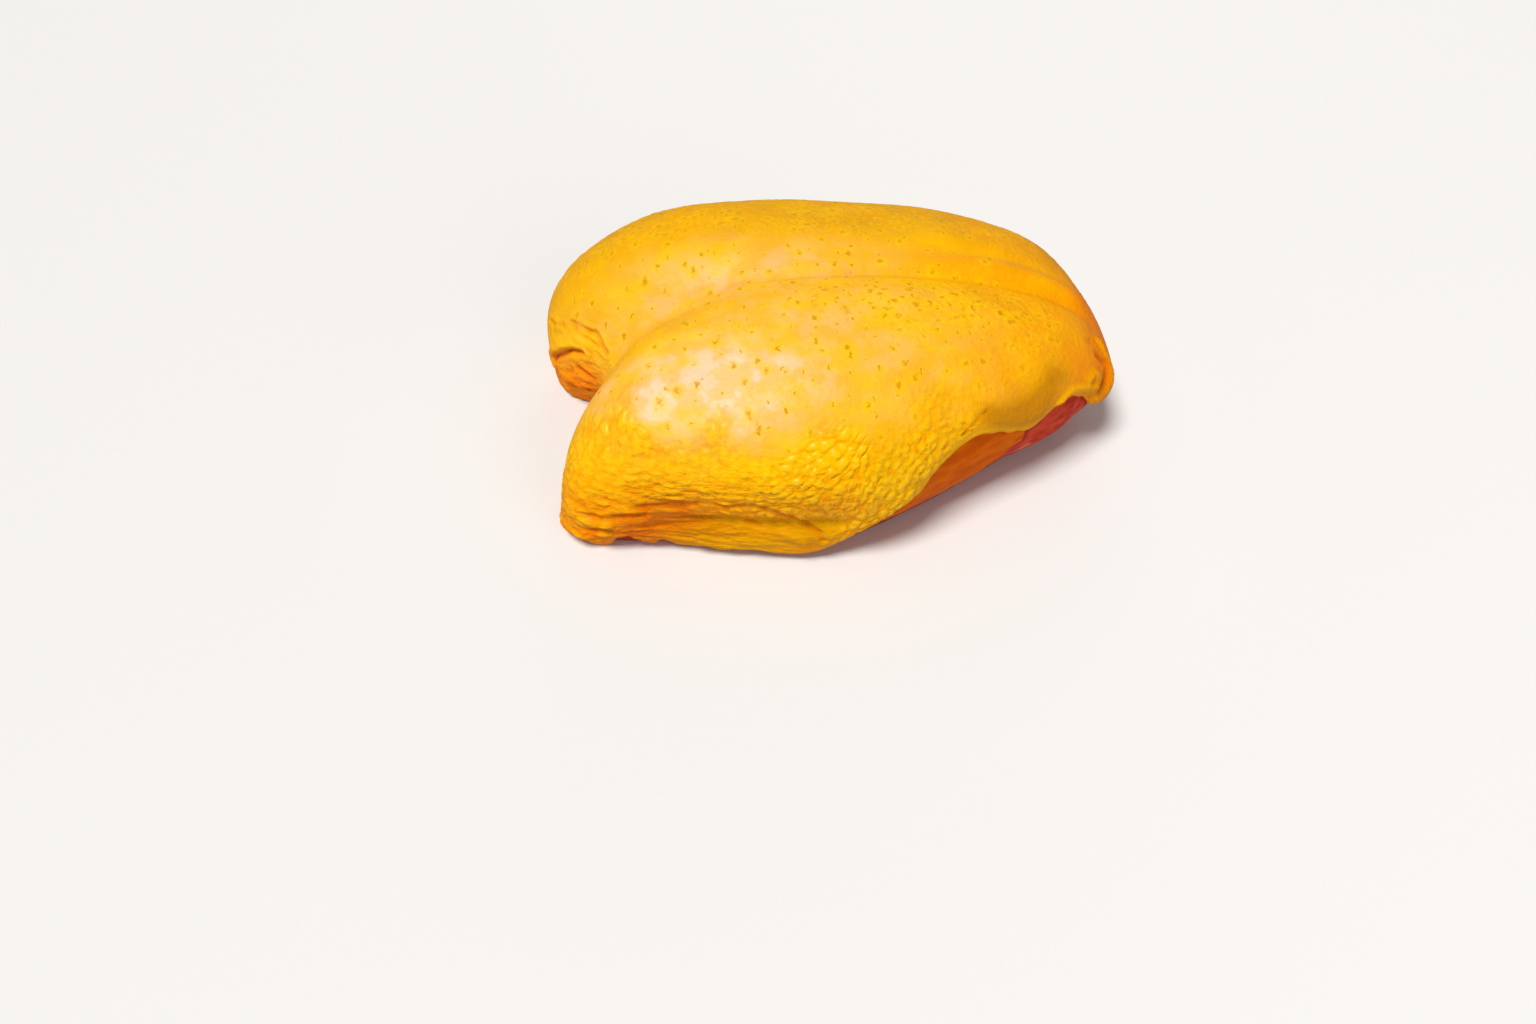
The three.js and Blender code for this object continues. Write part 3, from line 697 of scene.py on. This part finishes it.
def mottle_group():
    """Group for wet meat: a soft noise gives a tone and a gloss, a fine one a height.
    Sizes are in millimetres; the tone runs evenly about 1 over the tone range."""
    group = bpy.data.node_groups.new("wet_mottle", "ShaderNodeTree")
    face = group.interface
    face.new_socket("Vector", in_out="INPUT", socket_type="NodeSocketVector")
    for label in ("Patch Size", "Grain Size", "Tone Range"):
        face.new_socket(label, in_out="INPUT", socket_type="NodeSocketFloat")
    for label in ("Tone", "Gloss", "Height"):
        face.new_socket(label, in_out="OUTPUT", socket_type="NodeSocketFloat")
    take = group.nodes.new("NodeGroupInput")
    give = group.nodes.new("NodeGroupOutput")
    made = {}
    for label, detail in (("Patch Size", PATCH_DETAIL), ("Grain Size", GRAIN_DETAIL)):
        per_metre = group.nodes.new("ShaderNodeMath")
        per_metre.operation = "DIVIDE"
        per_metre.inputs[0].default_value = 1 / MM
        group.links.new(take.outputs[label], per_metre.inputs[1])
        made[label] = group.nodes.new("ShaderNodeTexNoise")
        made[label].inputs["Detail"].default_value = detail
        group.links.new(take.outputs["Vector"], made[label].inputs["Vector"])
        group.links.new(per_metre.outputs[0], made[label].inputs["Scale"])
    centred = group.nodes.new("ShaderNodeMath")
    centred.operation = "SUBTRACT"
    group.links.new(made["Patch Size"].outputs["Fac"], centred.inputs[0])
    centred.inputs[1].default_value = 0.5
    tone = group.nodes.new("ShaderNodeMath")
    tone.operation = "MULTIPLY_ADD"
    group.links.new(centred.outputs[0], tone.inputs[0])
    group.links.new(take.outputs["Tone Range"], tone.inputs[1])
    tone.inputs[2].default_value = 1.0
    gloss = group.nodes.new("ShaderNodeMapRange")
    group.links.new(made["Patch Size"].outputs["Fac"], gloss.inputs["Value"])
    gloss.inputs["From Min"].default_value, gloss.inputs["From Max"].default_value = GLOSS_FROM
    gloss.inputs["To Min"].default_value, gloss.inputs["To Max"].default_value = GLOSS_TO
    group.links.new(tone.outputs[0], give.inputs["Tone"])
    group.links.new(gloss.outputs[0], give.inputs["Gloss"])
    group.links.new(made["Grain Size"].outputs["Fac"], give.inputs["Height"])
    return group


wet_mottle = mottle_group()

GOLDEN = (0.80, 0.39, 0.0, 1)
# pale skin, made lighter still as a painted highlight
PEACH_AND_HIGHLIGHT = (0.86, 0.53, 0.34, 1)
LEMON = (0.86, 0.485, 0.0, 1)
# deep orange of the gathered skin, also used as painted warm shade
DEEP_ORANGE = (0.82, 0.21, 0.0, 1)
# orange of the painted shade in the gaps between goose bumps
GAP_SHADE_ORANGE = (0.80, 0.24, 0.0, 1)
SHADED_FOLD = (0.60, 0.11, 0.0, 1)
# olive of thin skin, also used as painted shade
THIN_AND_SHADED_OLIVE = (0.50, 0.185, 0.0, 1)
FOLLICLE = (0.50, 0.19, 0.001, 1)

# Mottle: size of the patches and of the grain in millimetres, range of the tone
SKIN_MOTTLE = (14, 0.8, 0.3)

# Share of each colour where its mask is full
LEMON_SHARE = 0.55
TOP_HIGHLIGHT_SHARE, GAP_SHADE_SHARE = 0.6, 0.6
OLIVE_SHARE, FOLD_SHARE = 0.8, 0.85
HALO_SHARE, DOT_SHARE = 0.6, 0.75

# Sizes of the patterns in millimetres, and how far some are drawn out along the piece
PEACH_BLOTCH, LEMON_BLOTCH, GAP_BLOTCH = 9, 12, 7
LEMON_STRETCH = (0.45, 1.0, 1.0)
CRUMB, CRUMB_STRETCH = 2.1, (0.6, 1.0, 1.2)
WRINKLE, WRINKLE_STRETCH = 1.5, (0.22, 1.0, 1.0)
GRAIN = 2.0
RAG, RAG_REACH = 1.6, (2.6 * MM, 5.0 * MM, 0)

# Follicles: spacing in millimetres, least and most reach as a share of it, how far they are drawn out
LARGE_FOLLICLES = (7.0, 0.04, 0.16, (1.0, 1.0, 1.0))
SMALL_FOLLICLES = (4.0, 0.10, 0.24, (0.6, 1.0, 1.0))
SLANT = (0, 0, math.radians(-38))

# Heights of the fine relief, as shares of its depth
GRAIN_HEIGHT, WRINKLED_HEIGHT, MOTTLE_HEIGHT = 0.6, 1.4, 0.15
DOT_DEPTH, CRUMB_DEPTH = 0.5, 0.9


def follicles(f, dotted, woven):
    """Ragged dots of uneven size, each in a small yellow patch: masks of the dots and the patches."""
    ragged = f.node("ShaderNodeVectorMath", {"operation": "MULTIPLY_ADD"})
    f.feed(ragged.inputs[0], f.noise(RAG)["Color"])
    ragged.inputs[1].default_value = RAG_REACH
    f.feed(ragged.inputs[2], f.place)
    dots, patches = 0.0, 0.0
    for kind, where in ((LARGE_FOLLICLES, dotted), (SMALL_FOLLICLES, woven)):
        spacing, least, most, drawn = kind
        slanted = f.mapped(ragged.outputs[0], Rotation=SLANT, Scale=drawn)
        cells = f.cells(slanted, spacing, voronoi_dimensions="2D")
        size = f.node("ShaderNodeSeparateColor", Color=cells["Color"]).outputs[0]
        reach = f.maths("ADD", f.times(f.times(size, size), most), least)
        share = f.maths("DIVIDE", cells["Distance"], reach)
        dots = f.maths("MAXIMUM", dots, f.times(f.fall(share, 0.0, 1.3), where))
        patches = f.maths("MAXIMUM", patches, f.times(f.fall(share, 0.9, 3.0), where))
    return dots, patches


def skin_finish():
    """Golden fat under thin skin: pale patches that are partly a painted highlight, orange where it is
    gathered and as painted warm shade low on the walls, painted highlight on the tops of the goose bumps
    and painted shade between them and in the folds, with dark follicles on the smooth parts."""
    f = Finish("yellow_skin")
    names = ("peach_and_highlight", "orange", "bumpy", "cell", "fold_shade", "thin", "dotted", "woven", "level")
    mask = {}
    for name in names:
        mask[name] = f.node("ShaderNodeAttribute", {"attribute_name": name}).outputs["Fac"]
    mottle = f.mottle(*SKIN_MOTTLE)

    # Soft patches: pale ones that are partly a painted highlight, lemon ones at random, and orange that
    # is partly painted warm shade
    blotch = f.maths("ADD", f.rise(f.noise(PEACH_BLOTCH, 4.0)["Fac"], 0.4, 0.62), 0.55)
    colour = f.mix(f.maths("MULTIPLY", mask["peach_and_highlight"], blotch, clamp=True), GOLDEN, PEACH_AND_HIGHLIGHT)
    lemon = f.rise(f.noise(LEMON_BLOTCH, 4.0, LEMON_STRETCH)["Fac"], 0.45, 0.65)
    colour = f.mix(f.times(lemon, LEMON_SHARE), colour, LEMON)
    # orange, partly the skin's own and partly painted warm shade
    colour = f.mix(mask["orange"], colour, DEEP_ORANGE)

    # Goose bumps: painted highlight on their tops, and painted shade in the gaps between them, orange
    # here and there
    tops = f.times(mask["bumpy"], f.rise(mask["cell"], 0.35, 0.9))
    gaps = f.times(mask["bumpy"], f.fall(mask["cell"], 0.0, 0.5))
    gaps = f.times(gaps, f.rise(f.noise(GAP_BLOTCH)["Fac"], 0.35, 0.6))
    crumbs = f.cells(f.mapped(f.place, Scale=CRUMB_STRETCH), CRUMB, feature="SMOOTH_F1")["Distance"]
    colour = f.mix(f.times(tops, TOP_HIGHLIGHT_SHARE), colour, LEMON)
    colour = f.mix(f.times(gaps, GAP_SHADE_SHARE), colour, GAP_SHADE_ORANGE)
    # olive of thin skin, and painted shade on the panel, the far slope and the cut
    colour = f.mix(f.times(mask["thin"], OLIVE_SHARE), colour, THIN_AND_SHADED_OLIVE)
    # painted shade in the creases and folds
    colour = f.mix(f.times(mask["fold_shade"], FOLD_SHARE), colour, SHADED_FOLD)

    dots, patches = follicles(f, mask["dotted"], mask["woven"])
    colour = f.mix(f.times(patches, HALO_SHARE), colour, LEMON)
    colour = f.mix(f.times(dots, DOT_SHARE), colour, FOLLICLE)

    # Fine relief: small grain all over, level wrinkles where the skin hangs, a dent at each follicle
    wrinkle = f.times(f.noise(WRINKLE, 3.0, WRINKLE_STRETCH)["Fac"], mask["level"])
    grain = f.times(f.noise(GRAIN, 3.0)["Fac"], f.maths("ADD", mask["bumpy"], 1.4))
    height = f.maths("ADD", f.times(grain, GRAIN_HEIGHT), f.times(wrinkle, WRINKLED_HEIGHT))
    height = f.maths("ADD", height, f.times(mottle["Height"], MOTTLE_HEIGHT))
    height = f.maths("SUBTRACT", height, f.times(dots, DOT_DEPTH))
    height = f.maths("SUBTRACT", height, f.times(crumbs, f.times(mask["bumpy"], CRUMB_DEPTH)))

    # The pale patches are glossier, and the tops of the bumps are wet
    gloss = f.maths("ADD", mottle["Gloss"], f.times(f.maths("SUBTRACT", 0.5, mask["peach_and_highlight"]), 0.12))
    f.close(f.toned(colour, mottle), gloss, height, 0.8, 0.7 * MM)
    f.feed(f.shader.inputs["Coat Weight"], f.times(tops, 0.24))
    f.set(Coat_Roughness=0.22, Specular_IOR_Level=0.13, Specular_Tint=(1.0, 0.85, 0.2, 1))
    f.set(Subsurface_Weight=0.08, Subsurface_Scale=2 * MM, Subsurface_Radius=(1.0, 0.45, 0.1))
    return f.material


skin.data.materials.append(skin_finish())
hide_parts("skin")
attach(skin, "root")

# Fat membrane
# A smooth translucent sheet of orange fat between skin and flesh. It shows where the skin is cut
# away along the near flank, and ends in a torn lower edge.

MEMBRANE_SPAN = (14.2, 16.4)
MEMBRANE_TOP = 0.8
MEMBRANE_LOW = 1.72
MEMBRANE_NARROWING, NARROWING_OVER = 0.55, 0.5
MEMBRANE_THICKNESS = 1.2
MEMBRANE_GAP = 1.0
MEMBRANE_COLUMNS, MEMBRANE_ROWS = 200, 90
HIGHEST_WAVE, DEEPEST_WAVE = 0, -0.6


def membrane_sheet():
    """The front and back faces as grids between the top under the skin and the torn edge, whose
    rag is the sum of two sines; the front is dented by two ripples."""
    u = np.linspace(*MEMBRANE_SPAN, MEMBRANE_COLUMNS)[None]
    end = MEMBRANE_SPAN[1]
    low = MEMBRANE_LOW - MEMBRANE_NARROWING * ease(u, end - NARROWING_OVER, end)
    low = low + 0.02 * np.sin(u * 40) + 0.01 * np.sin(u * 97)
    v = MEMBRANE_TOP + (low - MEMBRANE_TOP) * np.linspace(0, 1, MEMBRANE_ROWS)[:, None]
    u = u + 0 * v
    base, out = surface(u, v), outward(u, v)
    waves = 0.25 * ripple(base, 16, seed=11) + 0.12 * ripple(base, 5, seed=12) + DEEPEST_WAVE / 2
    waves = np.clip(waves, DEEPEST_WAVE, HIGHEST_WAVE)
    front = base + out * (waves - SKIN_THICKNESS - MEMBRANE_GAP)[..., None]
    back = base - out * (SKIN_THICKNESS + MEMBRANE_GAP + MEMBRANE_THICKNESS)
    return front, back


def closed_sheet(name, front, back):
    """Two faces of one grid joined round their border."""
    rows, columns = front.shape[:2]
    size = rows * columns
    vertices = np.concatenate([front.reshape(-1, 3), back.reshape(-1, 3)]) * MM
    index = np.arange(size).reshape(rows, columns)
    face = np.stack([index[:-1, :-1], index[1:, :-1], index[1:, 1:], index[:-1, 1:]], -1).reshape(-1, 4)
    border = np.concatenate([index[0, :-1], index[:-1, -1], index[-1, :0:-1], index[:0:-1, 0]])
    ahead = np.roll(border, -1)
    rim = np.stack([border, ahead, ahead + size, border + size], -1)
    faces = np.concatenate([face, face[:, ::-1] + size, rim])
    mesh = bpy.data.meshes.new(name)
    mesh.from_pydata(vertices.tolist(), [], faces.tolist())
    return linked_object(name, mesh)


membrane = closed_sheet("fat_sheet", *membrane_sheet())

ORANGE_FAT = (0.68, 0.13, 0.0, 1)
SHADED_FAT = (0.56, 0.085, 0.0, 1)
FAT_MOTTLE = (11, 1.1, 0.2)
STREAK, STREAK_STRETCH = 5, (0.35, 0.6, 1.4)


def membrane_finish():
    """Wet orange fat, streaked along the cut."""
    f = Finish("orange_fat")
    mottle = f.mottle(*FAT_MOTTLE)
    streak = f.noise(STREAK, 3.0, STREAK_STRETCH)["Fac"]
    colour = f.mix(f.rise(streak, 0.35, 0.65), SHADED_FAT, ORANGE_FAT)
    height = f.maths("ADD", streak, f.times(mottle["Height"], 0.1))
    f.close(f.toned(colour, mottle), mottle["Gloss"], height, 0.35, 0.6 * MM)
    f.set(Specular_IOR_Level=0.02, Specular_Tint=(1.0, 0.8, 0.4, 1))
    f.set(Subsurface_Weight=0.15, Subsurface_Scale=3 * MM, Subsurface_Radius=(1.0, 0.4, 0.1))
    return f.material


membrane.data.materials.append(membrane_finish())
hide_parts("fat_membrane")
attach(membrane, "root")

# Flesh
# The breast muscle under the skin, pink and wet, with grain that runs towards the tail. It shows
# between the skin's rolled edge and the floor at the tail, and lies flat on its underside.

LAYER_GAP = 0.7
BED_ROUND = (13.7, 14.2, 16.4, 16.9)
BED_DOWN = (0.56, 0.8, 1.82, 2.0)
FLESH_COLUMNS, UPPER_ROWS, UNDER_ROWS = 400, 40, 34
HIGHEST_GRAIN = 0.4


def flesh_depth(u, v):
    """Depth below the skin's face: skin and gap, and more where the membrane lies on the flesh."""
    bed = between(u, *BED_ROUND) * between(v, *BED_DOWN)
    return SKIN_THICKNESS + LAYER_GAP + (MEMBRANE_THICKNESS + MEMBRANE_GAP) * bed


flesh_u = np.linspace(0, TURN, FLESH_COLUMNS, endpoint=False)
hem = hem_at(flesh_u)
upper_v = np.linspace(0, 1, UPPER_ROWS + 1)[1:, None] * hem
under_v = hem + (2 - hem) * np.linspace(0, 1, UNDER_ROWS + 1)[1:, None]
flesh_v = np.concatenate([upper_v, under_v])
flesh_u = flesh_u + 0 * flesh_v
flesh_base, flesh_out = surface(flesh_u, flesh_v), outward(flesh_u, flesh_v)

# The bare flesh is uneven with grain, and flat again where it meets the floor
shown = ease(flesh_v - hem, 0.02, 0.12) * (1 - ease(flesh_v, 1.7, 1.95))
grain = 0.35 * ripple(flesh_base * np.array([0.35, 1, 1]), 7, seed=21)
grain = grain + 0.5 * ripple(flesh_base, 18, seed=22)
inset = flesh_depth(flesh_u, flesh_v) - np.clip(grain, -1, HIGHEST_GRAIN) * shown
flesh_rings = flesh_base - flesh_out * inset[..., None]
underside = np.array([*CROWN_CENTRE, 0.0])
crown_of_flesh = crown - np.array([0, 0, SKIN_THICKNESS + LAYER_GAP])
flesh = closed_grid("breast_flesh", flesh_rings, crown_of_flesh, underside, {})

RED_FLESH = (0.40, 0.018, 0.006, 1)
PINK_FLESH = (0.62, 0.065, 0.025, 1)
SINEW = (0.88, 0.38, 0.22, 1)
FLESH_MOTTLE = (12, 1.1, 0.25)
FIBRE, FIBRE_STRETCH = 3.2, (0.25, 1.0, 1.0)
SINEW_SIZE, SINEW_STRETCH, SINEW_SHARE = 9, (0.2, 1.0, 1.0), 0.35


def flesh_finish():
    """Red to pink muscle: stretched noise for the grain, with a few pale sinews."""
    f = Finish("pink_flesh")
    mottle = f.mottle(*FLESH_MOTTLE)
    fibre = f.noise(FIBRE, 3.0, FIBRE_STRETCH)["Fac"]
    colour = f.mix(f.rise(fibre, 0.3, 0.72), RED_FLESH, PINK_FLESH)
    sinew = f.rise(f.noise(SINEW_SIZE, 2.0, SINEW_STRETCH)["Fac"], 0.62, 0.72)
    colour = f.mix(f.times(sinew, SINEW_SHARE), colour, SINEW)
    f.close(f.toned(colour, mottle), mottle["Gloss"], fibre, 0.3, 0.5 * MM)
    f.set(Specular_IOR_Level=0.04, Coat_Weight=0.04, Coat_Roughness=0.12)
    f.set(Subsurface_Weight=0.2, Subsurface_Scale=4 * MM, Subsurface_Radius=(1.0, 0.3, 0.2))
    return f.material


flesh.data.materials.append(flesh_finish())
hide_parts("flesh")
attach(flesh, "root")

# Floor, light and camera
# A plain pale floor under a soft sun from high on the left and two weak area lights, with the
# camera at the photograph's place: 47 degrees down, from the near side.

FLOOR_HALF = 6.0
FLOOR_PAINT = (0.70, 0.695, 0.695, 1)
floor_mesh = bpy.data.meshes.new("floor")
corners = [(x * FLOOR_HALF, y * FLOOR_HALF, 0) for x, y in ((-1, -1), (1, -1), (1, 1), (-1, 1))]
floor_mesh.from_pydata(corners, [], [(0, 1, 2, 3)])
floor = bpy.data.objects.new("floor", floor_mesh)
bpy.context.scene.collection.objects.link(floor)
floor_finish = Finish("pale_floor")
floor_finish.set(Base_Color=FLOOR_PAINT, Roughness=0.8)
floor_mesh.materials.append(floor_finish.material)
floor.visible_glossy = False

AIM_HEIGHT = 0.03
KEY_PLACE, KEY_STRENGTH, KEY_ANGLE = (-0.53, -0.46, 1.66), 3.45, math.radians(22)
KEY_COLOUR = (1.0, 0.98, 0.95)
FILL_PLACE, FILL_POWER = (0.9, -1.2, 0.8), 6
BACK_PLACE, BACK_POWER = (0.2, 1.6, 0.5), 4
SOFT_SIZE, SOFT_COLOUR = 1.0, (1.0, 0.97, 0.92)


def aim(light, place):
    """Put a light at a place and turn it to the middle of the piece."""
    lamp = bpy.data.objects.new(light.name, light)
    lamp.location = place
    towards = Vector((0, 0, AIM_HEIGHT)) - lamp.location
    lamp.rotation_euler = towards.to_track_quat("-Z", "Y").to_euler()
    bpy.context.scene.collection.objects.link(lamp)
    return lamp


def soft_light(name, place, power):
    """Square area light aimed at the middle of the piece, without a glint of its own."""
    light = bpy.data.lights.new(name, "AREA")
    light.energy, light.size, light.color = power, SOFT_SIZE, SOFT_COLOUR
    aim(light, place).visible_glossy = False


# The main light is far away and wide, so that it reaches the whole floor evenly
key_light = bpy.data.lights.new("key_light", "SUN")
key_light.energy, key_light.angle, key_light.color = KEY_STRENGTH, KEY_ANGLE, KEY_COLOUR
aim(key_light, KEY_PLACE)
soft_light("fill_light", FILL_PLACE, FILL_POWER)
soft_light("back_light", BACK_PLACE, BACK_POWER)

# The room seen behind the floor is pale, but lights the piece only faintly
ROOM_LIGHT = 0.2
ROOM_SEEN = 0.85
world = bpy.data.worlds.new("pale_room")
world.use_nodes = True
room = world.node_tree
room.nodes["Background"].inputs["Color"].default_value = (1, 1, 1, 1)
seen = room.nodes.new("ShaderNodeLightPath").outputs["Is Camera Ray"]
strength = room.nodes.new("ShaderNodeMath")
strength.operation = "MULTIPLY_ADD"
strength.inputs[1].default_value = ROOM_SEEN - ROOM_LIGHT
strength.inputs[2].default_value = ROOM_LIGHT
room.links.new(seen, strength.inputs[0])
room.links.new(strength.outputs[0], room.nodes["Background"].inputs["Strength"])
bpy.context.scene.world = world
bpy.context.scene.view_settings.view_transform = "Standard"

CAMERA_PLACE = (-0.0320, -0.3663, 0.3350)
CAMERA_RIGHT = Vector((0.99987, -0.01307, 0.00904))
CAMERA_DOWN = Vector((-0.00349, -0.73546, -0.67756))
CAMERA_AHEAD = Vector((0.01551, 0.67745, -0.73541))
SENSOR_WIDTH = 36.0
LENS = 26.96
NEAREST = 0.01
camera_data = bpy.data.cameras.new("camera")
camera_data.sensor_width = SENSOR_WIDTH
camera_data.lens = LENS
camera_data.clip_start = NEAREST
camera = bpy.data.objects.new("camera", camera_data)
turn = Matrix((CAMERA_RIGHT, -CAMERA_DOWN, -CAMERA_AHEAD)).transposed()
camera.matrix_world = Matrix.Translation(CAMERA_PLACE) @ turn.to_4x4()
bpy.context.scene.collection.objects.link(camera)
bpy.context.scene.camera = camera
